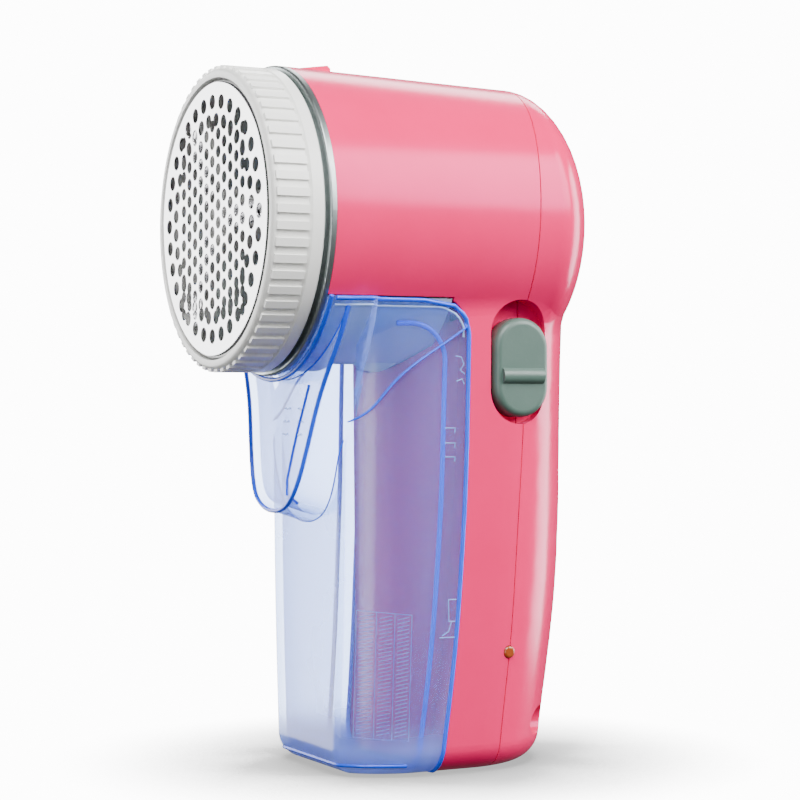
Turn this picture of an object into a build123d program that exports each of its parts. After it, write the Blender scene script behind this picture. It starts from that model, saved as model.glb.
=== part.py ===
from build123d import *
from math import asin, cos, degrees, hypot, radians, sin
import os

# Fabric shaver. Millimetres, +Z up, the head faces -Y and the switch is on +X.
# The origin is on the base, under the handle.

os.makedirs("parts", exist_ok=True)

# ---- overall form -----------------------------------------------------------
HEAD_Z = 111.8              # height of the shaving head's axis
BARREL_FRONT_Y = -34.6
BARREL_FRONT_R = 31.5
BARREL_REAR_R = 29.9
DOME_Y = 16.8               # where the barrel turns into its rear dome
DOME_DEPTH = 14.9
HANDLE_FRONT_Y = -26.9
HANDLE_SIDE = 17.0          # depth of the curved side in front of the straight part
HANDLE_BULGE = 8.4          # how much wider the handle is than its front face, each side
CREASE_R = 2.5              # rounding between front face and curved side
FOOT_R = 5.5                # rounding round the base
BLEND_R = 7.0               # rounding between barrel and handle
# height, half width, start and depth of the rounded back of each handle section
HANDLE_SECTIONS = [
    (0.0, 21.8, 2.3, 22.1),
    (12.0, 22.6, 3.2, 22.7),
    (30.0, 23.7, 4.5, 23.8),
    (55.0, 24.5, 5.8, 23.8),
    (HEAD_Z - 36.8, 24.8, 6.8, 22.8),
    (HEAD_Z - 23.8, 24.9, 7.2, 22.7),
    (HEAD_Z, 25.1, 7.2, 23.6),
]
WALL = 2.0                  # housing wall
REACH = 60.0                # half size of the cutting tools

# ---- clearances -------------------------------------------------------------
FIT = 0.05                  # parts that sit in each other
GAP = 0.3                   # parts that pass each other
SEAM_GAP = 0.25             # visible line between the two shells

# ---- seam between the shells, (y, z) from base to barrel top ------------------
SEAM = [(6.2, -1.5), (6.8, 8.2), (8.3, 26.4), (9.5, 49.2), (10.6, HEAD_Z - 41.9),
        (11.0, HEAD_Z - 15.5), (11.2, HEAD_Z - 2.5), (12.6, HEAD_Z + 13.2), (17.0, HEAD_Z + 29.2),
        (19.5, HEAD_Z + 35.2)]

# ---- lint box ---------------------------------------------------------------
BOX_TOP_Z = HEAD_Z - 15.9
BOX_TOP_R = 7.5
BOX_WALL = 1.7
BOX_LIP_WALL = 1.1
BOX_LIP = 5.2               # depth of the thinner edge behind the step
# rear edge, (y, z) from the top corner to the base
BOX_EDGE = [(-1.9, BOX_TOP_Z - BOX_TOP_R), (-2.1, HEAD_Z - 36.4), (-2.6, 55.3), (-3.2, 43.3),
            (-4.3, 25.2), (-5.6, 11.1), (-6.9, -1.5)]
BOX_FRONT_Y = BARREL_FRONT_Y + 0.5
SKIRT_OUT = 0.6             # how far the upper part stands out from the lower part
# lower edge of the skirt seen from the side, (y, z)
SKIRT_EDGE = [(-3.0, HEAD_Z - 21.8), (-8.7, HEAD_Z - 25.5), (-13.9, HEAD_Z - 28.9),
              (-18.6, HEAD_Z - 33.2), (-22.5, HEAD_Z - 38.3), (-28.5, HEAD_Z - 41.3)]
TONGUE_Y = -31.4            # front face of the thumb tongue, at the height below
TONGUE_Z = HEAD_Z - 30.8
TONGUE_LEAN = 6.0           # degrees that its tip stands forward
TONGUE_BACK_Y = -25.2
TONGUE_DRAFT = 2.8          # how much wider the tongue is where it meets the box
TONGUE_WALL = 1.4
# half outline of the tongue seen from the front, (x, height above TONGUE_Z)
TONGUE = [(0.0, -28.3), (5.0, -27.6), (8.7, -25.6), (11.2, -22.2), (13.2, -17.5), (14.9, -12.5),
          (17.0, -6.4), (20.3, 0.0), (24.2, 6.5), (27.4, 16.0)]
LIP_R = 32.3                # edge that hugs the collar
LIP_DEPTH = 4.4
DRUM_R = 30.5               # visible part of the blade chamber
DRUM_REAR_Y = -6.5

# ---- inner front panel --------------------------------------------------------
PANEL_HALF = 20.3
PANEL_DEPTH = 10.6
PANEL_Y = -1.6
PANEL_FOOT_Z = BOX_WALL + 0.8
PANEL_TAPER = 2.6           # how much narrower the panel is at the base, each side

# ---- head ---------------------------------------------------------------------
FOIL_Y = -47.5              # front face of the foil
FOIL_R = 28.1
FOIL_T = 0.3
FOIL_DEPTH = 2.4
RING_R = 30.85
RING_BASE_R = 30.35
RING_BORE_R = 29.7
RING_REAR_Y = -36.8
RIB_COUNT = 60
RIB_WIDTH = 1.6
RIB_REAR_Y = -40.0
COLLAR_FRONT_Y = -36.0
NECK_R = 29.0
CHAMBER_R = 26.8
BULKHEAD = 2.0

# ---- cutter and motor ---------------------------------------------------------
SHAFT_R = 1.0
MOTOR_R = 12.0
MOTOR_REAR_Y = 20.0
MOTOR_SCREW_X = 8.0
BLADE_T = 0.5
BLADE_FRONT_Y = FOIL_Y + FOIL_T + GAP
CARRIER_FRONT_Y = BLADE_FRONT_Y + BLADE_T
BLADE_COUNT = 3
HUB_R = 3.2
KEY_R = 4.4
SLEEVE_R = 6.4
FAN_R = 23.0
FAN_COUNT = 8
SPRING_R = 1.9
SPRING_WIRE_R = 0.25

# ---- switch -------------------------------------------------------------------
SWITCH_Y = 9.9
SWITCH_TRAVEL = 3.3
BUTTON_W = 12.5
BUTTON_H = 20.2
BUTTON_Z = HEAD_Z - 29.8
BUTTON_FACE_X = 25.7
POCKET_W = BUTTON_W + 1.6
POCKET_Z = (BUTTON_Z - BUTTON_H / 2 - 1.4, BUTTON_Z + BUTTON_H / 2 + SWITCH_TRAVEL + 0.4)
POCKET_FLOOR_X = 21.2

# ---- inside the handle ----------------------------------------------------------
BOARD_X = 12.6
BOARD_T = 1.6
BOARD_FOOT_Z = 17.0
CELL_R = 7.1
CELL_LENGTH = 49.3
CELL_FOOT_Z = 15.0
CELL_X = (-9.7, 4.7)
CELL_Y = 8.0
LED_Z = 24.1
LED_Y = 8.1
INLET_Y = 12.2
INLET_W = 14.0
INLET_D = 8.0
INLET_H = 11.5
# x, z and seam position of the four housing screws
SCREWS = [(-17.0, HEAD_Z - 12.8, 11.05), (17.0, HEAD_Z - 12.8, 11.05),
          (-15.2, 8.6, 6.9), (15.2, 8.6, 6.9)]
SCREW_SHANK_R = 1.3
SCREW_HEAD_R = 2.7
SCREW_LENGTH = 12.0
SCREW_SEAT = 4.0            # distance from the seam to the screw's seat


def head_plane(y):
    """Plane across the head's axis, facing the front."""
    return Plane(origin=(0, y, HEAD_Z), x_dir=(1, 0, 0), z_dir=(0, -1, 0))


def tube(radius, rear, front, bore=0.0):
    """Cylinder or tube about the head's axis, from its rear to its front position."""
    with BuildPart() as body:
        with BuildSketch(head_plane(rear)):
            Circle(radius)
            if bore > 0:
                Circle(bore, mode=Mode.SUBTRACT)
        extrude(amount=rear - front)
    return body.part


def rod_along_y(x, z, radius, rear, front):
    """Cylinder parallel to the head's axis at any place."""
    with BuildPart() as body:
        with BuildSketch(Plane(origin=(x, rear, z), x_dir=(1, 0, 0), z_dir=(0, -1, 0))):
            Circle(radius)
        extrude(amount=rear - front)
    return body.part


def block(x, y, z):
    """Box from three (low, high) pairs."""
    with BuildPart() as body:
        with Locations(((x[0] + x[1]) / 2, (y[0] + y[1]) / 2, (z[0] + z[1]) / 2)):
            Box(x[1] - x[0], y[1] - y[0], z[1] - z[0])
    return body.part


def wire(points, radius, bend):
    """Round wire of straight runs joined by bends."""
    with BuildPart() as body:
        with BuildLine() as path:
            FilletPolyline(*points, radius=bend)
        with BuildSketch(Plane(origin=path.line @ 0, z_dir=path.line % 0)):
            Circle(radius)
        sweep()
    return body.part


def handle_plan(height, inset):
    """Outline of the handle at one height, moved in by the inset."""
    below = max(row for row in HANDLE_SECTIONS if row[0] <= height)
    above = min(row for row in HANDLE_SECTIONS if row[0] >= height)
    part_way = (height - below[0]) / (above[0] - below[0]) if above[0] > below[0] else 0
    half, turn, depth = [low + part_way * (high - low) for low, high in zip(below[1:], above[1:])]
    radius = (HANDLE_BULGE ** 2 + HANDLE_SIDE ** 2) / (2 * HANDLE_BULGE)
    side_angle = degrees(asin((HANDLE_SIDE - inset) / (radius - inset)))
    centre_x, centre_y = half - radius, HANDLE_FRONT_Y + HANDLE_SIDE
    edge = centre_x + (radius - inset) * cos(radians(side_angle))
    with BuildSketch(Plane.XY.offset(height)) as plan:
        with BuildLine():
            Line((-edge, HANDLE_FRONT_Y + inset), (edge, HANDLE_FRONT_Y + inset))
            CenterArc((centre_x, centre_y), radius - inset, -side_angle, side_angle)
            Line((half - inset, centre_y), (half - inset, turn))
            EllipticalCenterArc((0, turn), half - inset, depth - inset, start_angle=0, arc_size=180)
            Line((inset - half, turn), (inset - half, centre_y))
            CenterArc((-centre_x, centre_y), radius - inset, 180, side_angle)
        make_face()
        fillet(plan.vertices().group_by(Axis.Y)[0], max(CREASE_R - inset, 0.6))
    return plan.sketch


def handle_form(inset):
    """The handle as a loft, with every face moved in by the inset."""
    foot = FOOT_R - max(inset, 0)
    floor = max(inset, 0)
    with BuildPart() as form:
        for angle in (0, 20, 40, 60, 90):
            add(handle_plan(floor + foot * (1 - cos(radians(angle))),
                            inset + foot * (1 - sin(radians(angle)))))
        loft()
        add(handle_plan(FOOT_R, inset))
        for row in HANDLE_SECTIONS[1:]:
            add(handle_plan(row[0], inset))
        loft()
    return form.part


def barrel_form(inset):
    """The barrel and its rear dome, with the skin moved in by the inset."""
    with BuildPart() as form:
        with BuildSketch(Plane.YZ):
            with BuildLine():
                Line((BARREL_FRONT_Y, HEAD_Z), (BARREL_FRONT_Y, HEAD_Z + BARREL_FRONT_R - inset))
                Line((BARREL_FRONT_Y, HEAD_Z + BARREL_FRONT_R - inset),
                     (DOME_Y, HEAD_Z + BARREL_REAR_R - inset))
                Spline(*[(DOME_Y + (DOME_DEPTH - inset) * cos(radians(a)),
                          HEAD_Z + (BARREL_REAR_R - inset) * sin(radians(a))) for a in range(90, -1, -15)],
                       tangents=[(1, 0), (0, -1)])
                Line((DOME_Y + DOME_DEPTH - inset, HEAD_Z), (BARREL_FRONT_Y, HEAD_Z))
            make_face()
        revolve(axis=Axis((0, 0, HEAD_Z), (0, 1, 0)))
    return form.part


def seam_side(shift, far):
    """Everything on one side of the seam, out to the far position along Y."""
    with BuildPart() as tool:
        with BuildSketch(Plane.YZ):
            with BuildLine():
                Spline(*[(y + shift, z) for y, z in SEAM])
                Polyline((SEAM[-1][0] + shift, SEAM[-1][1]), (far, SEAM[-1][1]),
                         (far, SEAM[0][1]), (SEAM[0][0] + shift, SEAM[0][1]))
            make_face()
        extrude(amount=REACH, both=True)
    return tool.part


def box_zone(shrink):
    """Everything the lint box takes up, with the rear and top edges moved in."""
    top = BOX_TOP_Z - shrink
    turn = BOX_EDGE[0][0] - shrink
    with BuildPart() as tool:
        with BuildSketch(Plane.YZ):
            with BuildLine():
                Polyline((-REACH, top), (turn - BOX_TOP_R, top))
                JernArc((turn - BOX_TOP_R, top), (1, 0), BOX_TOP_R, -90)
                Spline((turn, top - BOX_TOP_R), *[(y - shrink, z) for y, z in BOX_EDGE[1:]])
                Polyline((BOX_EDGE[-1][0] - shrink, BOX_EDGE[-1][1]),
                         (-REACH, BOX_EDGE[-1][1]), (-REACH, top))
            make_face()
        extrude(amount=REACH, both=True)
    return tool.part


def panel_form(inset):
    """Convex panel that closes the handle's front inside the lint box."""
    with BuildPart() as form:
        for height, half in ((PANEL_FOOT_Z + inset, PANEL_HALF - PANEL_TAPER - inset),
                             (BOX_TOP_Z, PANEL_HALF - inset)):
            with BuildSketch(Plane.XY.offset(height)):
                with BuildLine():
                    EllipticalCenterArc((0, PANEL_Y), half, PANEL_DEPTH - inset,
                                        start_angle=180, arc_size=180)
                    Polyline((half, PANEL_Y), (half, SEAM[0][0] - 2), (-half, SEAM[0][0] - 2),
                             (-half, PANEL_Y))
                make_face()
        loft()
    return form.part


def spread(outline, amount):
    """Half outline with each point moved out along its normal. The first point stays on the axis."""
    around = [(-outline[1][0], outline[1][1])] + outline + [outline[-1]]
    moved = []
    for before, (x, z), after in zip(around, outline, around[2:]):
        length = hypot(after[0] - before[0], after[1] - before[1])
        moved.append((x + amount * (after[1] - before[1]) / length,
                      z - amount * (after[0] - before[0]) / length))
    return moved


def tongue_form(inset):
    """Thumb tongue on the front of the lint box, wider where it meets the box."""
    lean = radians(TONGUE_LEAN)
    with BuildPart() as form:
        for y, widen, facing in ((TONGUE_Y + inset, 0, (0, -cos(lean), sin(lean))),
                                 (TONGUE_BACK_Y + inset, TONGUE_DRAFT, (0, -1, 0))):
            right = spread(TONGUE, widen - inset)
            outline = [(-x, z) for x, z in reversed(right[1:])] + right
            with BuildSketch(Plane((0, y, TONGUE_Z), x_dir=(1, 0, 0), z_dir=facing)):
                with BuildLine():
                    Spline(*outline)
                    Line(outline[-1], outline[0])
                make_face()
        loft()
    return form.part


def above_skirt_edge():
    """Everything above the skirt's lower edge."""
    with BuildPart() as tool:
        with BuildSketch(Plane.YZ):
            with BuildLine():
                Spline(*SKIRT_EDGE)
                Polyline(SKIRT_EDGE[-1], (-REACH, SKIRT_EDGE[-1][1]), (-REACH, BOX_TOP_Z - 3),
                         (SKIRT_EDGE[0][0], BOX_TOP_Z - 3), SKIRT_EDGE[0])
            make_face()
        extrude(amount=REACH, both=True)
    return tool.part


# ---- shells ---------------------------------------------------------------------
with BuildPart() as outer:
    add(handle_form(0))
    add(barrel_form(0))
    junction = [edge for edge in outer.edges()
                if HEAD_Z - 41.8 < edge.bounding_box().min.Z and edge.bounding_box().max.Z < HEAD_Z
                and edge.bounding_box().max.Y > BARREL_FRONT_Y + 1]
    fillet(junction, BLEND_R)

with BuildPart() as inner:
    add(handle_form(WALL))
    add(barrel_form(WALL))

with BuildPart() as switch_block:
    with BuildSketch(Plane.YZ.offset(POCKET_FLOOR_X - 1.7)):
        with Locations((SWITCH_Y, sum(POCKET_Z) / 2)):
            SlotOverall(POCKET_Z[1] - POCKET_Z[0] + 3, POCKET_W + 3, rotation=90)
    extrude(amount=20)
    add(outer.part, mode=Mode.INTERSECT)

with BuildPart() as switch_pocket:
    with BuildSketch(Plane.YZ.offset(POCKET_FLOOR_X)):
        with Locations((SWITCH_Y, sum(POCKET_Z) / 2)):
            SlotOverall(POCKET_Z[1] - POCKET_Z[0], POCKET_W, rotation=90)
    extrude(amount=20)
    with BuildSketch(Plane.YZ.offset(POCKET_FLOOR_X - 3)):
        with Locations((SWITCH_Y, BUTTON_Z + SWITCH_TRAVEL / 2)):
            SlotOverall(8.0 + SWITCH_TRAVEL + 2 * GAP, 4.0 + 2 * GAP, rotation=90)
    extrude(amount=4)

with BuildPart() as led_hole:
    with BuildSketch(Plane.YZ.offset(15)):
        with Locations((LED_Y, LED_Z)):
            Circle(1.3 + FIT)
    extrude(amount=15)

with BuildPart() as front_housing:
    add(outer.part)
    add(seam_side(0, REACH), mode=Mode.SUBTRACT)
    add(box_zone(0), mode=Mode.SUBTRACT)
    add(panel_form(0))
    add(tube(DRUM_R + GAP, DRUM_REAR_Y + GAP, BARREL_FRONT_Y - 1)
        & block((-REACH, REACH), (-REACH, REACH), (0, BOX_TOP_Z)), mode=Mode.SUBTRACT)
    # hollow inside: the handle behind the box edge, the panel and the barrel
    add(handle_form(WALL) - box_zone(-WALL), mode=Mode.SUBTRACT)
    add(panel_form(WALL), mode=Mode.SUBTRACT)
    add(barrel_form(WALL), mode=Mode.SUBTRACT)
    add(switch_block.part - seam_side(0, REACH))
    for x, z, seam in SCREWS:
        add(rod_along_y(x, z, SCREW_SHANK_R + 2.0, seam, seam - 10))
        side = 1 if x > 0 else -1
        if z > HEAD_Z / 2:
            add(block(sorted((x, side * 25.5)), (seam - 10, seam), (z - 0.8, z + 0.8)) & outer.part)
        else:
            add(block((x - 0.8, x + 0.8), (seam - 10, seam - 0.8), (1.0, z)))
    add(switch_pocket.part, mode=Mode.SUBTRACT)
    add(led_hole.part, mode=Mode.SUBTRACT)
    for x, z, seam in SCREWS:
        add(rod_along_y(x, z, SCREW_SHANK_R, seam, seam - 9), mode=Mode.SUBTRACT)
    # small ramp on top of the barrel
    with BuildSketch(Plane.YZ):
        Polygon((-29.5, HEAD_Z + 30.6), (-29.5, HEAD_Z + 31.3), (-23.4, HEAD_Z + 32.2),
                (-22.7, HEAD_Z + 31.6), (-22.7, HEAD_Z + 30.4), align=None)
    extrude(amount=3.2, both=True)
front_housing.part.label = "front_housing"
export_step(front_housing.part, "parts/front_housing.step")

with BuildPart() as rear_housing:
    add(outer.part)
    add(seam_side(SEAM_GAP, -REACH), mode=Mode.SUBTRACT)
    add(inner.part, mode=Mode.SUBTRACT)
    add(block((-INLET_W / 2 - FIT, INLET_W / 2 + FIT), (INLET_Y - INLET_D / 2 - FIT,
        INLET_Y + INLET_D / 2 + FIT), (-1, WALL + 1)), mode=Mode.SUBTRACT)
    add(switch_block.part - seam_side(SEAM_GAP, -REACH))
    for x, z, seam in SCREWS:
        add(rod_along_y(x, z, SCREW_HEAD_R + 1.7, seam + 30, seam) & outer.part)
    add(switch_pocket.part, mode=Mode.SUBTRACT)
    add(led_hole.part, mode=Mode.SUBTRACT)
    for x, z, seam in SCREWS:
        add(rod_along_y(x, z, SCREW_SHANK_R + 0.2, seam + SCREW_SEAT + 1, seam - 1), mode=Mode.SUBTRACT)
        add(rod_along_y(x, z, SCREW_HEAD_R + 0.3, seam + 30, seam + SCREW_SEAT), mode=Mode.SUBTRACT)
rear_housing.part.label = "rear_housing"
export_step(rear_housing.part, "parts/rear_housing.step")

# ---- blade chamber, collar and head ----------------------------------------------
with BuildPart() as blade_chamber:
    add(barrel_form(WALL + FIT) & tube(REACH, DRUM_REAR_Y, BARREL_FRONT_Y))
    add(tube(DRUM_R, DRUM_REAR_Y, BOX_FRONT_Y)
        & block((-REACH, REACH), (-REACH, REACH), (0, BOX_TOP_Z - GAP)))
    add(tube(NECK_R, BARREL_FRONT_Y, RING_REAR_Y - 3.2))
    add(tube(CHAMBER_R, DRUM_REAR_Y - BULKHEAD, RING_REAR_Y - 4), mode=Mode.SUBTRACT)
    add(tube(3.0 + FIT, DRUM_REAR_Y + 1, DRUM_REAR_Y - 4), mode=Mode.SUBTRACT)
    for x in (-MOTOR_SCREW_X, MOTOR_SCREW_X):
        add(rod_along_y(x, HEAD_Z, 1.15, DRUM_REAR_Y + 1, DRUM_REAR_Y - 4), mode=Mode.SUBTRACT)
    # lint outlet in the underside
    add(block((-10, 10), (-25, -11), (HEAD_Z - 36.8, HEAD_Z - 16.8)), mode=Mode.SUBTRACT)
blade_chamber.part.label = "blade_chamber"
export_step(blade_chamber.part, "parts/blade_chamber.step")

with BuildPart() as collar_ring:
    add(tube(BARREL_FRONT_R, BARREL_FRONT_Y - FIT, COLLAR_FRONT_Y, NECK_R + FIT))
    fillet(collar_ring.edges().filter_by(GeomType.CIRCLE).sort_by(Axis.Y)[:2]
           .sort_by(SortBy.RADIUS)[-1], 0.4)
collar_ring.part.label = "collar_ring"
export_step(collar_ring.part, "parts/collar_ring.step")

with BuildPart() as lock_ring:
    with BuildSketch(Plane.YZ):
        with BuildLine():
            Polyline((FOIL_Y, HEAD_Z + FOIL_R + GAP), (FOIL_Y + FOIL_DEPTH, HEAD_Z + FOIL_R + GAP),
                     (FOIL_Y + FOIL_DEPTH, HEAD_Z + RING_BORE_R), (RING_REAR_Y, HEAD_Z + RING_BORE_R),
                     (RING_REAR_Y, HEAD_Z + RING_R - 0.3), (RING_REAR_Y - 0.3, HEAD_Z + RING_R),
                     (RIB_REAR_Y + 0.6, HEAD_Z + RING_R), (RIB_REAR_Y, HEAD_Z + RING_BASE_R),
                     (FOIL_Y + 1.4, HEAD_Z + RING_BASE_R))
            Spline((FOIL_Y + 1.4, HEAD_Z + RING_BASE_R), (FOIL_Y + 0.4, HEAD_Z + 30.0),
                   (FOIL_Y, HEAD_Z + FOIL_R + GAP))
        make_face()
    revolve(axis=Axis((0, 0, HEAD_Z), (0, 1, 0)))
    with BuildSketch(head_plane(RIB_REAR_Y)):
        with PolarLocations(RING_BASE_R - 0.1, RIB_COUNT):
            Rectangle(2 * (RING_R - RING_BASE_R + 0.1), RIB_WIDTH)
    extrude(amount=RIB_REAR_Y - FOIL_Y - 0.7)
lock_ring.part.label = "lock_ring"
export_step(lock_ring.part, "parts/lock_ring.step")

with BuildPart() as foil_guard:
    with BuildSketch(Plane.YZ):
        with BuildLine():
            Polyline((FOIL_Y, HEAD_Z), (FOIL_Y, HEAD_Z + FOIL_R - 1.2))
            JernArc((FOIL_Y, HEAD_Z + FOIL_R - 1.2), (0, 1), 1.2, -90)
            Polyline((FOIL_Y + 1.2, HEAD_Z + FOIL_R), (FOIL_Y + FOIL_DEPTH + GAP, HEAD_Z + FOIL_R),
                     (FOIL_Y + FOIL_DEPTH + GAP, HEAD_Z + RING_BORE_R - GAP),
                     (FOIL_Y + FOIL_DEPTH + GAP + FOIL_T, HEAD_Z + RING_BORE_R - GAP),
                     (FOIL_Y + FOIL_DEPTH + GAP + FOIL_T, HEAD_Z + FOIL_R - FOIL_T),
                     (FOIL_Y + 1.2, HEAD_Z + FOIL_R - FOIL_T))
            JernArc((FOIL_Y + 1.2, HEAD_Z + FOIL_R - FOIL_T), (-1, 0), 1.2 - FOIL_T, 90)
            Polyline((FOIL_Y + FOIL_T, HEAD_Z + FOIL_R - 1.2), (FOIL_Y + FOIL_T, HEAD_Z), (FOIL_Y, HEAD_Z))
        make_face()
    revolve(axis=Axis((0, 0, HEAD_Z), (0, 1, 0)))
    with BuildSketch(head_plane(FOIL_Y + 1)):
        with PolarLocations(23.6, 32):
            Circle(1.5)
        with PolarLocations(19.9, 32, start_angle=180 / 32):
            Circle(1.42)
        with HexLocations(3.56 / 2, 11, 11, major_radius=False):
            Circle(1.25)
        with BuildSketch(mode=Mode.INTERSECT):
            Circle(26)
    extrude(amount=2, mode=Mode.SUBTRACT)
foil_guard.part.label = "foil_guard"
export_step(foil_guard.part, "parts/foil_guard.step")

with BuildPart() as foil_frame:
    add(tube(RING_BORE_R - GAP, RING_REAR_Y - 3.2 - FIT, FOIL_Y + FOIL_DEPTH + GAP + FOIL_T, CHAMBER_R))
    add(tube(FOIL_R - FOIL_T - FIT, FOIL_Y + FOIL_DEPTH + 1, FOIL_Y + 1.3, CHAMBER_R))
foil_frame.part.label = "foil_frame"
export_step(foil_frame.part, "parts/foil_frame.step")

# ---- cutter ---------------------------------------------------------------------
with BuildPart() as cutter_blades:
    with BuildSketch(head_plane(CARRIER_FRONT_Y)):
        with PolarLocations(0, BLADE_COUNT):
            Polygon((5.0, -2.6), (24.5, -1.2), (24.5, 2.0), (5.0, 2.6), align=None)
    extrude(amount=BLADE_T)
cutter_blades.part.label = "cutter_blades"
export_step(cutter_blades.part, "parts/cutter_blades.step")

with BuildPart() as blade_carrier:
    add(tube(SLEEVE_R, CARRIER_FRONT_Y + 14.6, CARRIER_FRONT_Y))
    with BuildSketch(head_plane(CARRIER_FRONT_Y + 2.2)):
        with PolarLocations(0, BLADE_COUNT):
            with Locations((12.0, 0)):
                Rectangle(22.0, 5.0)
    extrude(amount=2.2)
    with BuildSketch(head_plane(CARRIER_FRONT_Y + 15)):
        Circle(HUB_R + FIT)
        with PolarLocations(0, 2):
            with Locations((HUB_R, 0)):
                Rectangle(2 * (KEY_R - HUB_R + FIT), 1.6 + 2 * FIT)
    extrude(amount=15 - 1.4, mode=Mode.SUBTRACT)
blade_carrier.part.label = "blade_carrier"
export_step(blade_carrier.part, "parts/blade_carrier.step")

HUB_FRONT_Y = CARRIER_FRONT_Y + 4.4
HUB_REAR_Y = CARRIER_FRONT_Y + 20.0
POCKET_END_Y = HUB_FRONT_Y + 4.0
with BuildPart() as drive_hub:
    with BuildSketch(head_plane(HUB_REAR_Y)):
        Circle(HUB_R)
        with PolarLocations(0, 2):
            with Locations((HUB_R, 0)):
                Rectangle(2 * (KEY_R - HUB_R), 1.6)
    extrude(amount=HUB_REAR_Y - HUB_FRONT_Y)
    add(tube(SLEEVE_R, HUB_REAR_Y, HUB_REAR_Y - 2))
    add(tube(SPRING_R + SPRING_WIRE_R + FIT, POCKET_END_Y, HUB_FRONT_Y - 1), mode=Mode.SUBTRACT)
    add(tube(SHAFT_R + FIT / 2, HUB_REAR_Y + 1, POCKET_END_Y + 1.5), mode=Mode.SUBTRACT)
drive_hub.part.label = "drive_hub"
export_step(drive_hub.part, "parts/drive_hub.step")

SPRING_FRONT_Y = CARRIER_FRONT_Y + 1.4
SPRING_LENGTH = POCKET_END_Y - SPRING_FRONT_Y - 2 * SPRING_WIRE_R - 2 * FIT
with BuildPart() as cutter_spring:
    with BuildLine() as coil:
        Helix(SPRING_LENGTH / 6, SPRING_LENGTH, SPRING_R, direction=(0, 1, 0),
              center=(0, SPRING_FRONT_Y + SPRING_WIRE_R + FIT, HEAD_Z))
    with BuildSketch(Plane(origin=coil.line @ 0, z_dir=coil.line % 0)):
        Circle(SPRING_WIRE_R)
    sweep(is_frenet=True)
cutter_spring.part.label = "cutter_spring"
export_step(cutter_spring.part, "parts/cutter_spring.step")

with BuildPart() as cutter_fan:
    add(tube(4.0, DRUM_REAR_Y - BULKHEAD - 2.6, HUB_REAR_Y + 1.5, SHAFT_R + FIT / 2))
    add(tube(FAN_R, DRUM_REAR_Y - BULKHEAD - 2.6, DRUM_REAR_Y - BULKHEAD - 3.8, SHAFT_R + FIT / 2))
    with BuildSketch(head_plane(DRUM_REAR_Y - BULKHEAD - 3.2)):
        with PolarLocations(0, FAN_COUNT):
            with Locations((12.6, 0)):
                Rectangle(19.0, 1.2)
    extrude(amount=8.4)
cutter_fan.part.label = "cutter_fan"
export_step(cutter_fan.part, "parts/cutter_fan.step")

# ---- motor ----------------------------------------------------------------------
with BuildPart() as motor_can:
    add(tube(MOTOR_R, MOTOR_REAR_Y, DRUM_REAR_Y))
    fillet(motor_can.edges().filter_by(GeomType.CIRCLE).sort_by(Axis.Y)[0], 1.0)
    add(tube(3.0, DRUM_REAR_Y, DRUM_REAR_Y - 1.6))
    add(tube(SHAFT_R + FIT, MOTOR_REAR_Y + 1, DRUM_REAR_Y - 3), mode=Mode.SUBTRACT)
    for x in (-MOTOR_SCREW_X, MOTOR_SCREW_X):
        add(rod_along_y(x, HEAD_Z, 1.0, DRUM_REAR_Y + 3.2, DRUM_REAR_Y - 1), mode=Mode.SUBTRACT)
motor_can.part.label = "motor_can"
export_step(motor_can.part, "parts/motor_can.step")

with BuildPart() as motor_end_cap:
    add(tube(MOTOR_R - 0.6, MOTOR_REAR_Y + 3.0, MOTOR_REAR_Y))
    add(tube(3.4, MOTOR_REAR_Y + 4.6, MOTOR_REAR_Y))
    for x in (-7.0, 7.0):
        add(block((x - 1.4, x + 1.4), (MOTOR_REAR_Y + 2.5, MOTOR_REAR_Y + 5.5), (HEAD_Z - 0.3, HEAD_Z + 0.3)))
    add(tube(SHAFT_R + FIT, MOTOR_REAR_Y + 3.6, MOTOR_REAR_Y - 1), mode=Mode.SUBTRACT)
motor_end_cap.part.label = "motor_end_cap"
export_step(motor_end_cap.part, "parts/motor_end_cap.step")

with BuildPart() as motor_shaft:
    add(tube(SHAFT_R, MOTOR_REAR_Y + 3.0, POCKET_END_Y + 2))
motor_shaft.part.label = "motor_shaft"
export_step(motor_shaft.part, "parts/motor_shaft.step")

with BuildPart() as motor_screws:
    for x in (-MOTOR_SCREW_X, MOTOR_SCREW_X):
        add(rod_along_y(x, HEAD_Z, 1.0 - FIT / 2, DRUM_REAR_Y + 3, DRUM_REAR_Y - BULKHEAD))
        add(rod_along_y(x, HEAD_Z, 1.9, DRUM_REAR_Y - BULKHEAD, DRUM_REAR_Y - BULKHEAD - 1.3))
        add(block((x - 1.4, x + 1.4), (DRUM_REAR_Y - BULKHEAD - 2, DRUM_REAR_Y - BULKHEAD - 0.8),
            (HEAD_Z - 0.2, HEAD_Z + 0.2)), mode=Mode.SUBTRACT)
motor_screws.part.label = "motor_screws"
export_step(motor_screws.part, "parts/motor_screws.step")

# ---- lint box ---------------------------------------------------------------------
with BuildPart() as lint_box:
    add(outer.part & box_zone(GAP))
    add(handle_form(-SKIRT_OUT) & above_skirt_edge() & box_zone(GAP))
    add(tongue_form(0) & block((-REACH, REACH), (-REACH, REACH), (0, BOX_TOP_Z - GAP)))
    add(tube(LIP_R, BOX_FRONT_Y + LIP_DEPTH, BOX_FRONT_Y)
        & block((-REACH, REACH), (-REACH, REACH), (0, BOX_TOP_Z - GAP)))
    add(block((-REACH, REACH), (-REACH, BOX_FRONT_Y), (HEAD_Z - 72, HEAD_Z + 40)), mode=Mode.SUBTRACT)
    add(tube(DRUM_R + GAP, 0, -REACH), mode=Mode.SUBTRACT)
    add(handle_form(BOX_WALL), mode=Mode.SUBTRACT)
    add(handle_form(BOX_LIP_WALL) - box_zone(BOX_LIP), mode=Mode.SUBTRACT)
    add(tongue_form(TONGUE_WALL), mode=Mode.SUBTRACT)
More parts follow.
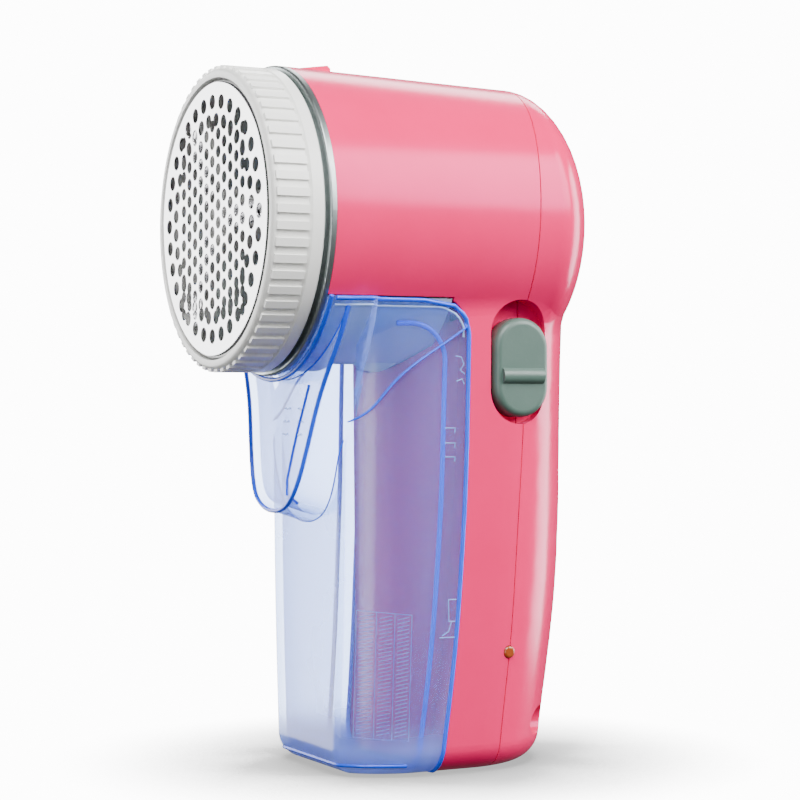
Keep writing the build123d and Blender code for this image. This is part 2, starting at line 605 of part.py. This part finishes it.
lint_box.part.label = "lint_box"
export_step(lint_box.part, "parts/lint_box.step")

# ---- switch -------------------------------------------------------------------
with BuildPart() as switch_button:
    with BuildSketch(Plane.YZ.offset(POCKET_FLOOR_X + GAP)):
        with Locations((SWITCH_Y, BUTTON_Z)):
            SlotOverall(BUTTON_H, BUTTON_W, rotation=90)
    extrude(amount=BUTTON_FACE_X - POCKET_FLOOR_X - GAP)
    fillet(switch_button.faces().sort_by(Axis.X)[-1].edges(), 1.4)
    with BuildSketch(Plane.XZ.offset(-SWITCH_Y)):
        with Locations((BUTTON_FACE_X - 0.3, BUTTON_Z - 1.7)):
            Ellipse(1.3, 1.6)
    extrude(amount=BUTTON_W / 2 - 1.5, both=True)
    with BuildSketch(Plane.YZ.offset(18.9)):
        with Locations((SWITCH_Y, BUTTON_Z)):
            SlotOverall(8.0, 4.0, rotation=90)
    extrude(amount=POCKET_FLOOR_X + 2 - 18.9)
switch_button.part.label = "switch_button"
export_step(switch_button.part, "parts/switch_button.step")

with BuildPart() as switch_slider:
    add(block((18.2, 18.9), (SWITCH_Y - 4, SWITCH_Y + 4), (BUTTON_Z - 9, BUTTON_Z + 9)))
    add(block((16.2, 18.9), (SWITCH_Y - 1.4, SWITCH_Y + 1.4), (BUTTON_Z - 1.5, BUTTON_Z + 1.5)))
switch_slider.part.label = "switch_slider"
export_step(switch_slider.part, "parts/switch_slider.step")

with BuildPart() as slide_switch_body:
    add(block((BOARD_X + BOARD_T, 17.9), (SWITCH_Y - 3.2, SWITCH_Y + 3.2), (BUTTON_Z - 7, BUTTON_Z + 9)))
    add(block((15.8, 18.5), (SWITCH_Y - 1.4 - GAP, SWITCH_Y + 1.4 + GAP),
        (BUTTON_Z - 1.5 - GAP, BUTTON_Z + 1.5 + SWITCH_TRAVEL + GAP)), mode=Mode.SUBTRACT)
slide_switch_body.part.label = "slide_switch_body"
export_step(slide_switch_body.part, "parts/slide_switch_body.step")

# ---- board, cells and inlet ---------------------------------------------------------
with BuildPart() as circuit_board:
    add(block((BOARD_X, BOARD_X + BOARD_T), (0.0, 16.0), (BOARD_FOOT_Z, BUTTON_Z + 11.0)))
circuit_board.part.label = "circuit_board"
export_step(circuit_board.part, "parts/circuit_board.step")

with BuildPart() as board_components:
    for y, z, w, h, t in ((4.5, 60.0, 5.0, 6.0, 2.2), (11.0, 50.0, 4.0, 3.0, 1.6), (4.5, 44.0, 3.2, 1.6, 0.8),
                          (4.5, 38.0, 3.2, 1.6, 0.8), (11.0, 36.0, 6.0, 6.0, 3.2), (4.0, 68.0, 3.2, 1.6, 0.8)):
        add(block((BOARD_X + BOARD_T, BOARD_X + BOARD_T + t), (y - w / 2, y + w / 2), (z - h / 2, z + h / 2)))
board_components.part.label = "board_components"
export_step(board_components.part, "parts/board_components.step")

with BuildPart() as charge_led:
    with BuildSketch(Plane.YZ.offset(BOARD_X + BOARD_T)):
        with Locations((LED_Y, LED_Z)):
            Circle(2.2)
    extrude(amount=4.4)
    with BuildSketch(Plane.YZ.offset(BOARD_X + BOARD_T + 4)):
        with Locations((LED_Y, LED_Z)):
            Circle(1.3)
    extrude(amount=5.3)
    fillet(charge_led.faces().sort_by(Axis.X)[-1].edges(), 0.6)
charge_led.part.label = "charge_led"
export_step(charge_led.part, "parts/charge_led.step")

with BuildPart() as battery_cells:
    for x in CELL_X:
        with Locations((x, CELL_Y, CELL_FOOT_Z + CELL_LENGTH / 2)):
            Cylinder(CELL_R, CELL_LENGTH)
        with Locations((x, CELL_Y, CELL_FOOT_Z + CELL_LENGTH + 0.5)):
            Cylinder(2.7, 1.0)
battery_cells.part.label = "battery_cells"
export_step(battery_cells.part, "parts/battery_cells.step")

with BuildPart() as battery_strips:
    add(block((CELL_X[0] - 3, CELL_X[1] + 3), (CELL_Y - 2.5, CELL_Y + 2.5),
        (CELL_FOOT_Z + CELL_LENGTH + 1.0, CELL_FOOT_Z + CELL_LENGTH + 1.3)))
    for x in CELL_X:
        add(block((x - 3, x + 3), (CELL_Y - 2.5, CELL_Y + 2.5), (CELL_FOOT_Z - 0.3, CELL_FOOT_Z)))
battery_strips.part.label = "battery_strips"
export_step(battery_strips.part, "parts/battery_strips.step")

with BuildPart() as battery_tray:
    add(block((CELL_X[0] - CELL_R - 0.2, CELL_X[1] + CELL_R), (CELL_Y - CELL_R - 1.2, CELL_Y + CELL_R - 5),
        (CELL_FOOT_Z - 2.0, CELL_FOOT_Z + CELL_LENGTH)))
    for x in CELL_X:
        with Locations((x, CELL_Y, CELL_FOOT_Z + CELL_LENGTH / 2)):
            Cylinder(CELL_R + FIT, CELL_LENGTH + 0.6, mode=Mode.SUBTRACT)
battery_tray.part.label = "battery_tray"
export_step(battery_tray.part, "parts/battery_tray.step")

with BuildPart() as charge_inlet:
    add(block((-INLET_W / 2, INLET_W / 2), (INLET_Y - INLET_D / 2, INLET_Y + INLET_D / 2), (0.3, INLET_H)))
    add(block((-INLET_W / 2 + 1.4, INLET_W / 2 - 1.4), (INLET_Y - INLET_D / 2 + 1.4,
        INLET_Y + INLET_D / 2 - 1.4), (-1, INLET_H - 1.6)), mode=Mode.SUBTRACT)
    add(block((-INLET_W / 2 - 1.5, INLET_W / 2 + 1.5), (INLET_Y - INLET_D / 2 - 1.0,
        INLET_Y + INLET_D / 2 + 1.0), (WALL + FIT, WALL + 1.2)))
    add(block((-INLET_W / 2 + 1.4, INLET_W / 2 - 1.4), (INLET_Y - INLET_D / 2 + 1.4,
        INLET_Y + INLET_D / 2 - 1.4), (-1, INLET_H - 1.6)), mode=Mode.SUBTRACT)
charge_inlet.part.label = "charge_inlet"
export_step(charge_inlet.part, "parts/charge_inlet.step")

with BuildPart() as inlet_pins:
    for x in (-2.8, 2.8):
        with Locations((x, INLET_Y, (3.0 + INLET_H - 1.6) / 2)):
            Cylinder(0.8, INLET_H - 1.6 - 3.0)
inlet_pins.part.label = "inlet_pins"
export_step(inlet_pins.part, "parts/inlet_pins.step")

with BuildPart() as housing_screws:
    for x, z, seam in SCREWS:
        seat = seam + SCREW_SEAT
        add(rod_along_y(x, z, SCREW_SHANK_R - FIT / 2, seat, seat - SCREW_LENGTH))
        add(rod_along_y(x, z, SCREW_HEAD_R, seat + 1.9, seat))
        add(block((x - 1.7, x + 1.7), (seat + 0.9, seat + 3), (z - 0.3, z + 0.3)), mode=Mode.SUBTRACT)
        add(block((x - 0.3, x + 0.3), (seat + 0.9, seat + 3), (z - 1.7, z + 1.7)), mode=Mode.SUBTRACT)
housing_screws.part.label = "housing_screws"
export_step(housing_screws.part, "parts/housing_screws.step")

# ---- wires ------------------------------------------------------------------------
with BuildPart() as motor_wires:
    add(wire([(13.4, 16.9, HEAD_Z - 21.8), (12.6, 19.5, HEAD_Z - 18.8), (8.6, 23.6, HEAD_Z - 7.8),
              (7.0, 24.4, HEAD_Z - 1.0)], 0.5, 2.5))
    add(wire([(13.4, 16.9, HEAD_Z - 24.8), (10.0, 20.0, HEAD_Z - 20.8), (-4.0, 23.0, HEAD_Z - 13.8),
              (-6.4, 23.9, HEAD_Z - 7.8), (-7.0, 24.4, HEAD_Z - 1.0)], 0.5, 2.5))
motor_wires.part.label = "motor_wires"
export_step(motor_wires.part, "parts/motor_wires.step")

with BuildPart() as battery_wires:
    top, foot = CELL_FOOT_Z + CELL_LENGTH, CELL_FOOT_Z
    add(wire([(13.4, 16.9, top + 5.7), (10.0, 16.9, top + 7.7), (6.0, 12.0, top + 5.2),
              (4.7, 9.0, top + 2.1)], 0.5, 1.8))
    add(wire([(13.4, 16.9, foot + 4.0), (12.0, 17.2, foot), (7.0, 15.6, foot - 1.6),
              (4.7, 10.6, foot - 1.1)], 0.5, 1.8))
battery_wires.part.label = "battery_wires"
export_step(battery_wires.part, "parts/battery_wires.step")
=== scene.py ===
import math
import bpy
import bmesh
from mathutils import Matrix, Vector


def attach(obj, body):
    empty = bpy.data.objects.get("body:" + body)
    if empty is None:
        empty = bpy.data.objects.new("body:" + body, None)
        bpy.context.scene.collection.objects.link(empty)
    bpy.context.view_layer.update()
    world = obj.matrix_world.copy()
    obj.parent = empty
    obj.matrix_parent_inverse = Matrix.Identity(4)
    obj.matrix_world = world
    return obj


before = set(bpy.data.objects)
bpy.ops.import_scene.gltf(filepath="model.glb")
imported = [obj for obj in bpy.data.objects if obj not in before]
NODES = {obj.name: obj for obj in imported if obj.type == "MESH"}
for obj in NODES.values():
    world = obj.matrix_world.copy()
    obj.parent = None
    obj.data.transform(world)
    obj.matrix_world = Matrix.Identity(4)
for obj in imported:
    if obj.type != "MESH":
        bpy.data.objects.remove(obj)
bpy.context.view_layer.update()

MM = 0.001
MIDDLE = Vector((0, -5, 75.4)) * MM         # what the camera looks at, the object's middle
CAMERA_AZIMUTH = 62.8                       # degrees from the head's side towards the switch side
CAMERA_DISTANCE = 462.45 * MM


def from_azimuth(azimuth, elevation=0.0):
    """Unit vector towards that direction; 0 is the head's side, 90 the switch side."""
    a, e = math.radians(azimuth), math.radians(elevation)
    return Vector((math.sin(a) * math.cos(e), -math.cos(a) * math.cos(e), math.sin(e)))


VIEW = from_azimuth(CAMERA_AZIMUTH)
SIDE = from_azimuth(CAMERA_AZIMUTH + 90.0)


# ---- camera -------------------------------------------------------------------
def make_camera():
    """Camera on the switch side, level with the middle of the handle."""
    data = bpy.data.cameras.new("camera")
    data.lens = 99.0
    data.sensor_width = 36.0
    data.clip_start = 0.01
    data.clip_end = 20.0
    camera = bpy.data.objects.new("camera", data)
    camera.location = MIDDLE + VIEW * CAMERA_DISTANCE
    camera.rotation_mode = "QUATERNION"
    camera.rotation_quaternion = (-VIEW).to_track_quat("-Z", "Y")
    bpy.context.scene.collection.objects.link(camera)
    bpy.context.scene.camera = camera


make_camera()


# ---- material helpers -----------------------------------------------------------
class Shader:
    """One node material, with short calls for the parts that every finish needs."""

    def __init__(self, name):
        self.material = bpy.data.materials.new(name)
        self.material.use_nodes = True
        self.tree = self.material.node_tree
        self.bsdf = self.tree.nodes["Principled BSDF"]
        self.output = self.tree.nodes["Material Output"]
        self.coords = self.add("ShaderNodeTexCoord").outputs["Object"]

    def add(self, kind, **settings):
        node = self.tree.nodes.new(kind)
        for key, value in settings.items():
            setattr(node, key, value)
        return node

    def link(self, source, target):
        self.tree.links.new(source, target)

    def value(self, socket, amount):
        self.bsdf.inputs[socket].default_value = amount

    def stretched(self, scale):
        """Object coordinates scaled along each axis."""
        mapping = self.add("ShaderNodeMapping")
        mapping.inputs["Scale"].default_value = scale
        self.link(self.coords, mapping.inputs["Vector"])
        return mapping.outputs["Vector"]

    def noise(self, scale, detail=3.0, rough=0.55, vector=None):
        node = self.add("ShaderNodeTexNoise")
        node.inputs["Scale"].default_value = scale
        node.inputs["Detail"].default_value = detail
        node.inputs["Roughness"].default_value = rough
        self.link(vector if vector is not None else self.coords, node.inputs["Vector"])
        return node.outputs["Fac"]

    def ramp(self, factor, stops):
        """Colour ramp from (position, colour) pairs."""
        node = self.add("ShaderNodeValToRGB")
        elements = node.color_ramp.elements
        while len(elements) < len(stops):
            elements.new(0.5)
        for element, (position, colour) in zip(elements, stops):
            element.position = position
            element.color = (*colour, 1.0)
        self.link(factor, node.inputs["Fac"])
        return node.outputs["Color"]

    def remap(self, factor, low, high):
        node = self.add("ShaderNodeMapRange")
        node.inputs["To Min"].default_value = low
        node.inputs["To Max"].default_value = high
        self.link(factor, node.inputs["Value"])
        return node.outputs["Result"]

    def bump(self, height, distance, strength=1.0, normal=None):
        node = self.add("ShaderNodeBump")
        node.inputs["Distance"].default_value = distance
        node.inputs["Strength"].default_value = strength
        self.link(height, node.inputs["Height"])
        if normal is not None:
            self.link(normal, node.inputs["Normal"])
        return node.outputs["Normal"]


def plastic(name, colour, other, rough=0.3, grain=2500.0, depth=0.00001, coat=0.0, shine=(1.0, 1.0, 1.0)):
    """Moulded plastic: faint flow marks in the colour, and fine grain in gloss and relief."""
    s = Shader(name)
    clouds = 60.0
    s.link(s.ramp(s.noise(clouds, 4.0), [(0.35, colour), (0.65, other)]), s.bsdf.inputs["Base Color"])
    s.link(s.remap(s.noise(grain * 0.3, 3.0), rough * 0.82, rough * 1.18), s.bsdf.inputs["Roughness"])
    fine = s.bump(s.noise(grain, 2.0), depth)
    s.link(s.bump(s.noise(clouds * 1.5, 2.0), depth * 8, 0.5, fine), s.bsdf.inputs["Normal"])
    s.value("Coat Weight", coat)
    s.value("Coat Roughness", 0.08)
    s.value("Specular Tint", (*shine, 1.0))
    return s.material


def metal(name, colour, other, rough=0.2, stretch=(1, 1, 1), grain=1500.0, depth=0.000004):
    """Bare metal with drawn or brushed marks along one direction."""
    s = Shader(name)
    marks = s.noise(grain, 4.0, 0.6, s.stretched(stretch))
    s.link(s.ramp(marks, [(0.3, colour), (0.7, other)]), s.bsdf.inputs["Base Color"])
    s.link(s.remap(marks, rough * 0.75, rough * 1.3), s.bsdf.inputs["Roughness"])
    s.link(s.bump(marks, depth), s.bsdf.inputs["Normal"])
    s.value("Metallic", 1.0)
    return s.material


def mix(s, factor, first, second):
    """Mix of two surface shaders; the factor is a socket or a number."""
    node = s.add("ShaderNodeMixShader")
    if isinstance(factor, float):
        node.inputs["Fac"].default_value = factor
    else:
        s.link(factor, node.inputs["Fac"])
    s.link(first.outputs[0], node.inputs[1])
    s.link(second.outputs[0], node.inputs[2])
    return node


def clear_blue(name, tint, edge, milk, milk_amount):
    """Clear tinted plastic: pale where it's seen square on, deep blue where it's seen edge on."""
    s = Shader(name)
    s.tree.nodes.remove(s.bsdf)
    layer = s.add("ShaderNodeLayerWeight")
    layer.inputs["Blend"].default_value = 0.5
    facing = layer.outputs["Facing"]

    body = s.add("ShaderNodeBsdfTransparent")
    half = tuple(0.55 * t + 0.45 * e for t, e in zip(tint, edge))
    s.link(s.ramp(facing, [(0.30, tint), (0.80, half), (0.97, edge)]), body.inputs["Color"])

    haze = s.add("ShaderNodeBsdfDiffuse")
    darker = tuple(0.94 * channel for channel in milk)
    s.link(s.ramp(s.noise(40.0, 3.0), [(0.3, milk), (0.7, darker)]), haze.inputs["Color"])
    lit = s.add("ShaderNodeBsdfTranslucent")
    lit.inputs["Color"].default_value = (*milk, 1.0)
    soft = mix(s, 0.5, haze, lit)

    # The foot is cloudier: the wall is thicker where it curves under.
    height = s.add("ShaderNodeSeparateXYZ")
    s.link(s.coords, height.inputs[0])
    low = s.add("ShaderNodeMapRange", interpolation_type="SMOOTHSTEP")
    for socket, amount in (("From Min", 2 * MM), ("From Max", 12 * MM), ("To Min", 0.42), ("To Max", 0.0)):
        low.inputs[socket].default_value = amount
    s.link(height.outputs["Z"], low.inputs["Value"])
    cloud = s.add("ShaderNodeMath", operation="ADD")
    s.link(s.remap(facing, milk_amount, min(1.0, milk_amount * 3.0)), cloud.inputs[0])
    s.link(low.outputs["Result"], cloud.inputs[1])
    wall = mix(s, cloud.outputs[0], body, soft)

    gloss = s.add("ShaderNodeBsdfAnisotropic")
    gloss.inputs["Roughness"].default_value = 0.18
    s.link(s.bump(s.noise(90.0, 2.0), 0.00006, 0.6), gloss.inputs["Normal"])
    steep = s.add("ShaderNodeMath", operation="POWER")
    s.link(facing, steep.inputs[0])
    steep.inputs[1].default_value = 4.0
    top = mix(s, s.remap(steep.outputs[0], 0.035, 0.75), wall, gloss)
    s.link(top.outputs[0], s.output.inputs["Surface"])
    return s.material


PINK = plastic("pink_gloss", (0.90, 0.006, 0.130), (0.86, 0.005, 0.120), 0.20, 2500, 0.000005,
               shine=(1.0, 0.30, 0.62))
WHITE = plastic("white_gloss", (0.93, 0.93, 0.90), (0.89, 0.89, 0.86), 0.32, 2200, 0.000006, 0.15)
PALE = plastic("pale_plastic", (0.62, 0.62, 0.60), (0.56, 0.56, 0.55), 0.5)
GREY = plastic("chamber_grey", (0.60, 0.66, 0.64), (0.54, 0.60, 0.58), 0.45, 1800, 0.00001)
SAGE = plastic("switch_sage", (0.080, 0.135, 0.112), (0.070, 0.120, 0.100), 0.38, 1800, 0.00001)
BLACK = plastic("black_plastic", (0.03, 0.03, 0.032), (0.045, 0.045, 0.047), 0.5)
AMBER = plastic("amber_lens", (0.30, 0.06, 0.01), (0.22, 0.04, 0.006), 0.15, 2500, 0.000002, 0.6)
BOARD = plastic("board_green", (0.03, 0.14, 0.05), (0.02, 0.10, 0.035), 0.4)
CELL = plastic("cell_sleeve", (0.03, 0.16, 0.07), (0.02, 0.12, 0.05), 0.25)
RED = plastic("red_insulation", (0.45, 0.02, 0.02), (0.38, 0.02, 0.02), 0.4)
FOIL = metal("foil_steel", (0.80, 0.80, 0.81), (0.70, 0.70, 0.71), 0.12, (1, 1, 6), 500, 0.000002)
COLLAR = metal("collar_grey", (0.42, 0.47, 0.47), (0.36, 0.41, 0.41), 0.34, (1, 8, 1), 700, 0.000003)
STEEL = metal("ground_steel", (0.60, 0.60, 0.61), (0.50, 0.50, 0.51), 0.25, (8, 1, 1))
ZINC = metal("zinc_steel", (0.56, 0.57, 0.58), (0.46, 0.47, 0.48), 0.32, (1, 6, 1))
BRASS = metal("plated_brass", (0.72, 0.58, 0.28), (0.64, 0.50, 0.24), 0.25)
BOX = clear_blue("clear_box", (0.84, 0.895, 0.995), (0.40, 0.60, 0.97), (0.34, 0.47, 0.97), 0.17)
# Painted highlight colour for the pale line under the lint box's top rim.
GLINT = plastic("box_glint", (0.36, 0.52, 0.90), (0.32, 0.48, 0.88), 0.15, 900, 0.000002)
EDGE = plastic("box_edge", (0.020, 0.105, 0.92), (0.015, 0.085, 0.88), 0.25, 900, 0.000002)
MARK = plastic("box_mark", (0.24, 0.42, 0.95), (0.20, 0.37, 0.90), 0.3, 900, 0.000002)

FINISH = {
    "front_housing": PINK, "rear_housing": PINK, "lock_ring": WHITE,
    "foil_guard": FOIL, "foil_frame": PALE, "collar_ring": COLLAR,
    "blade_chamber": GREY, "lint_box": BOX, "switch_button": SAGE,
    "charge_led": AMBER, "blade_carrier": PALE, "cutter_blades": STEEL,
    "cutter_spring": STEEL, "drive_hub": PALE, "cutter_fan": PALE,
    "motor_can": ZINC, "motor_end_cap": BLACK, "motor_shaft": STEEL,
    "motor_screws": ZINC, "housing_screws": ZINC, "switch_slider": BLACK,
    "slide_switch_body": BLACK, "circuit_board": BOARD, "board_components": BLACK,
    "battery_cells": CELL, "battery_strips": ZINC, "battery_tray": PALE,
    "charge_inlet": BLACK, "inlet_pins": BRASS, "motor_wires": RED,
    "battery_wires": BLACK,
}
for node_name, finish in FINISH.items():
    slots = NODES[node_name].data.materials
    if len(slots) == 0:
        slots.append(finish)
    for index in range(len(slots)):
        slots[index] = finish


# ---- lint box: edges, moulded marks and a painted highlight line --------------------
BOX_NODE = NODES["lint_box"]
WELD = 0.002 * MM           # corners closer than this are one corner
SHORT_EDGE = 4 * MM         # shorter sharp edges get no line
SHARP_ANGLE = 33            # degrees between two faces that make an edge sharp


def lines(name, paths, radius, material):
    """Thin rounded lines along the paths, as one piece that moves with the lint box."""
    data = bpy.data.curves.new(name, "CURVE")
    data.dimensions = "3D"
    data.bevel_depth = radius
    data.bevel_resolution = 2
    data.use_fill_caps = True
    for path in paths:
        spline = data.splines.new("POLY")
        spline.points.add(len(path) - 1)
        for point, place in zip(spline.points, path):
            point.co = (*place, 1.0)
    data.materials.append(material)
    piece = bpy.data.objects.new(name, data)
    bpy.context.scene.collection.objects.link(piece)
    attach(piece, "box")


def path_length(points):
    return sum((a - b).length for a, b in zip(points, points[1:]))


def sharp_chains(node, angle):
    """The sharp edges of a CAD node, joined end to end, as lists of points."""
    bm = bmesh.new()
    bm.from_mesh(node.data)
    bm.transform(node.matrix_world)
    bmesh.ops.remove_doubles(bm, verts=bm.verts, dist=WELD)
    at = {}
    for edge in bm.edges:
        if len(edge.link_faces) == 2 and edge.calc_face_angle() > math.radians(angle):
            for vert in edge.verts:
                at.setdefault(vert, []).append(edge)
    done, chains = set(), []
    ends = [vert for vert in at if len(at[vert]) != 2]
    for vert in ends + [vert for vert in at if len(at[vert]) == 2]:
        for edge in at[vert]:
            chain, here = [vert.co.copy()], vert
            while edge is not None and edge not in done:
                done.add(edge)
                here = edge.other_vert(here)
                chain.append(here.co.copy())
                onward = [other for other in at[here] if other not in done]
                edge = onward[0] if len(at[here]) == 2 and onward else None
            if path_length(chain) > SHORT_EDGE:
                chains.append(chain)
    bm.free()
    return chains


def box_hit(origin, way):
    """Where a ray from outside meets the lint box, or None; the origin is in millimetres."""
    found, place, _, _ = BOX_NODE.ray_cast(BOX_NODE.matrix_world.inverted() @ (origin * MM), way)
    return BOX_NODE.matrix_world @ place if found else None


def on_box(paths, from_side=True):
    """Points given as (y, z) on the box's side, or (x, z) on its front, laid on its surface."""
    laid = []
    for path in paths:
        if from_side:
            row = [box_hit(Vector((60, y, z)), Vector((-1, 0, 0))) for y, z in path]
        else:
            row = [box_hit(Vector((x, -60, z)), Vector((0, 1, 0))) for x, z in path]
        row = [place for place in row if place is not None]
        if len(row) > 1:
            laid.append(row)
    return laid


def round_foot(up):
    """The box's outline at that height, from one rear corner round the front to the other."""
    row = []
    for angle in range(0, 181, 3):
        way = Vector((math.cos(math.radians(angle)), math.sin(math.radians(angle)), 0))
        row.append(box_hit(Vector((0, -14.0, up)) - 70.0 * way, way))
    return [place for place in row if place is not None]


def top_rim(top, corner):
    """A line along the box's top in (y, z), from the collar to its rounded rear corner."""
    straight = [(-33.0 + step, top) for step in range(24)]
    turn = [math.radians(angle) for angle in range(0, 91, 10)]
    return straight + [(-9.4 + corner * math.sin(a), top - corner + corner * math.cos(a)) for a in turn]


def box_edges():
    """Clear plastic gathers its colour along its edges: thick on the rims, thin on the creases."""
    rims, creases, bands = [], [], []
    for chain in sharp_chains(BOX_NODE, SHARP_ANGLE):
        low = Vector([min(point[axis] for point in chain) for axis in range(3)]) / MM
        high = Vector([max(point[axis] for point in chain) for axis in range(3)]) / MM
        length = path_length(chain) / MM
        flange = length > 228                                   # step all round the rear
        rear = length > 200 and low.z < 0.1                     # rear edge, down to the floor
        tongue_front = low.y < -34.05 and low.z < 60
        top_edge = length > 60 and low.z > 78
        skirt = length > 25 and low.z > 71 and high.z < 90.2
        tongue_foot = 50 < length < 60 and low.y < -26.5
        if flange:
            bands.append(chain)
        elif tongue_front or rear or (top_edge and high.x > 27.5):
            rims.append(chain)
        elif skirt or tongue_foot or (top_edge and high.x > 26.5):
            creases.append(chain)
    tongue_fold = [(12.2, 78.4), (10.6, 74.0), (8.8, 69.4), (7.2, 64.0),
                   (6.0, 59.3), (6.6, 56.4), (8.3, 54.5)]
    lines("box_rims", rims + on_box([top_rim(95.2, 7.2)]), 0.46 * MM, EDGE)
    lines("box_bands", bands, 0.52 * MM, EDGE)
    lines("box_creases", creases, 0.15 * MM, EDGE)
    lines("box_foot", [round_foot(2.2)], 0.40 * MM, EDGE)
    lines("tongue_fold", on_box([tongue_fold], False), 0.30 * MM, EDGE)


def box_marks():
    """Snap hooks and level ticks near the rear edge, a ribbed grip panel, the tongue's grip marks, and a
    pale painted highlight line under the top rim.
    """
    hooks = [[(-5.2, 84.2), (-4.0, 84.0), (-3.4, 82.6), (-4.2, 81.4), (-3.2, 80.6)],
             [(-5.0, 79.2), (-3.8, 79.6), (-3.3, 78.6)],
             [(-7.6, 28.2), (-6.2, 29.0), (-5.6, 31.0)],
             [(-6.4, 35.4), (-4.6, 35.4)], [(-6.4, 35.4), (-6.2, 31.0)], [(-6.2, 31.0), (-4.8, 31.0)],
             [(-8.2, 27.8), (-4.6, 27.8)]]
    ticks = [[(-7.6, z), (-5.3, z), (-5.4, z - 0.9)] for z in (69.8, 66.8, 64.0)]
    lines("box_hooks", on_box(hooks + ticks), 0.10 * MM, MARK)
    panel = []
    pitch, rib_step = 3.3, 0.78
    for column in range(3):
        front = -24.2 + column * pitch
        top, foot = 33.6 - 0.3 * column, 8.2 - 0.3 * column
        panel.append([(front, top), (front, foot)])
        panel += [[(front + 0.5, foot + 0.7 + rib_step * step), (front + 2.8, foot + 1.2 + rib_step * step)]
                  for step in range(int((top - foot - 1) / rib_step))]
    panel.append([(-14.3, 32.6), (-14.3, 7.3)])
    panel += [[(-24.2, 33.6), (-19.2, 33.1), (-14.3, 32.6)], [(-24.2, 8.2), (-19.2, 7.7), (-14.3, 7.3)]]
    lines("grip_panel", on_box(panel), 0.05 * MM, MARK)
    grips = [[(x + 0.6 * step, z + 0.25 * math.sin(2.0 * step)) for step in range(6)]
             for x in (1.5, 8.0) for z in (73.6, 71.0, 68.4)]
    lines("tongue_grips", on_box(grips, False), 0.09 * MM, MARK)
    # Painted highlight: a pale blue line just under the top rim stands for the lit thickness of the top
    # wall.
    lines("box_glints", on_box([top_rim(93.9, 5.9)]), 0.24 * MM, GLINT)


box_edges()
box_marks()


# ---- studio -----------------------------------------------------------------------
def backdrop():
    """White sweep that curves up into a wall, as bright as a lit cyclorama, with a painted contact shadow
    where the object stands: its glow dims by ambient occlusion.
    """
    mesh = bpy.data.meshes.new("studio_sweep")
    bm = bmesh.new()
    bend_start, bend_r = 0.55, 0.5
    bend = [math.radians(angle) for angle in range(6, 91, 6)]
    profile = [(-0.9, 0.0), (bend_start, 0.0)]
    profile += [(bend_start + bend_r * math.sin(a), bend_r - bend_r * math.cos(a)) for a in bend]
    profile += [(bend_start + bend_r, 2.0)]
    rows = []
    for across in (-2.0, 2.0):
        rows.append([bm.verts.new(Vector((0, -0.005, up)) - VIEW * back + SIDE * across)
                     for back, up in profile])
    for a, b, c, d in zip(rows[0], rows[0][1:], rows[1][1:], rows[1]):
        bm.faces.new((a, b, c, d))
    bm.to_mesh(mesh)
    bm.free()
    for polygon in mesh.polygons:
        polygon.use_smooth = True
    floor = bpy.data.objects.new("studio_sweep", mesh)
    bpy.context.scene.collection.objects.link(floor)
    floor.visible_diffuse = False
    floor.visible_glossy = False
    s = Shader("studio_white")
    s.tree.nodes.remove(s.bsdf)
    # Painted shadow: ambient occlusion near the object dims the floor's glow, standing in for the object's
    # contact shadow.
    shade = s.add("ShaderNodeAmbientOcclusion")
    shade.samples = 8
    shade.inputs["Distance"].default_value = 0.05
    glow = s.add("ShaderNodeEmission")
    shadow_steps = ((0.45, 0.05), (0.75, 0.13), (0.9, 0.5), (1.0, 1.0))
    s.link(s.ramp(shade.outputs["AO"], [(open_sky, (white,) * 3) for open_sky, white in shadow_steps]),
           glow.inputs["Color"])
    glow.inputs["Strength"].default_value = 13.0
    s.link(glow.outputs[0], s.output.inputs["Surface"])
    mesh.materials.append(s.material)


def softbox(name, azimuth, elevation, distance, size, radiance):
    """Area light of that brightness, facing the upper middle of the object."""
    middle = Vector((0, -5, 90)) * MM
    away = from_azimuth(azimuth, elevation)
    data = bpy.data.lights.new(name, "AREA")
    data.shape = "RECTANGLE"
    data.size, data.size_y = size
    data.energy = radiance * math.pi * size[0] * size[1]
    light = bpy.data.objects.new(name, data)
    light.location = middle + away * distance
    light.rotation_mode = "QUATERNION"
    light.rotation_quaternion = away.to_track_quat("Z", "Y")
    bpy.context.scene.collection.objects.link(light)


def studio():
    softbox("key", 134, 30, 0.75, (0.50, 0.46), 15.0)
    softbox("front", 62, 50, 0.85, (0.60, 0.46), 14.0)
    softbox("head", -58, 6, 0.8, (0.8, 0.7), 6.0)
    softbox("side_strip", 45, 4, 0.8, (0.16, 0.7), 7.0)
    softbox("top_rim", 236, 40, 0.8, (0.5, 0.20), 8.0)
    softbox("rear_strip", 178, 5, 0.7, (0.26, 0.55), 12.0)
    world = bpy.data.worlds.new("studio")
    bpy.context.scene.world = world
    world.use_nodes = True
    background = world.node_tree.nodes["Background"]
    background.inputs["Color"].default_value = (1, 1, 1, 1)
    background.inputs["Strength"].default_value = 0.13


backdrop()
studio()
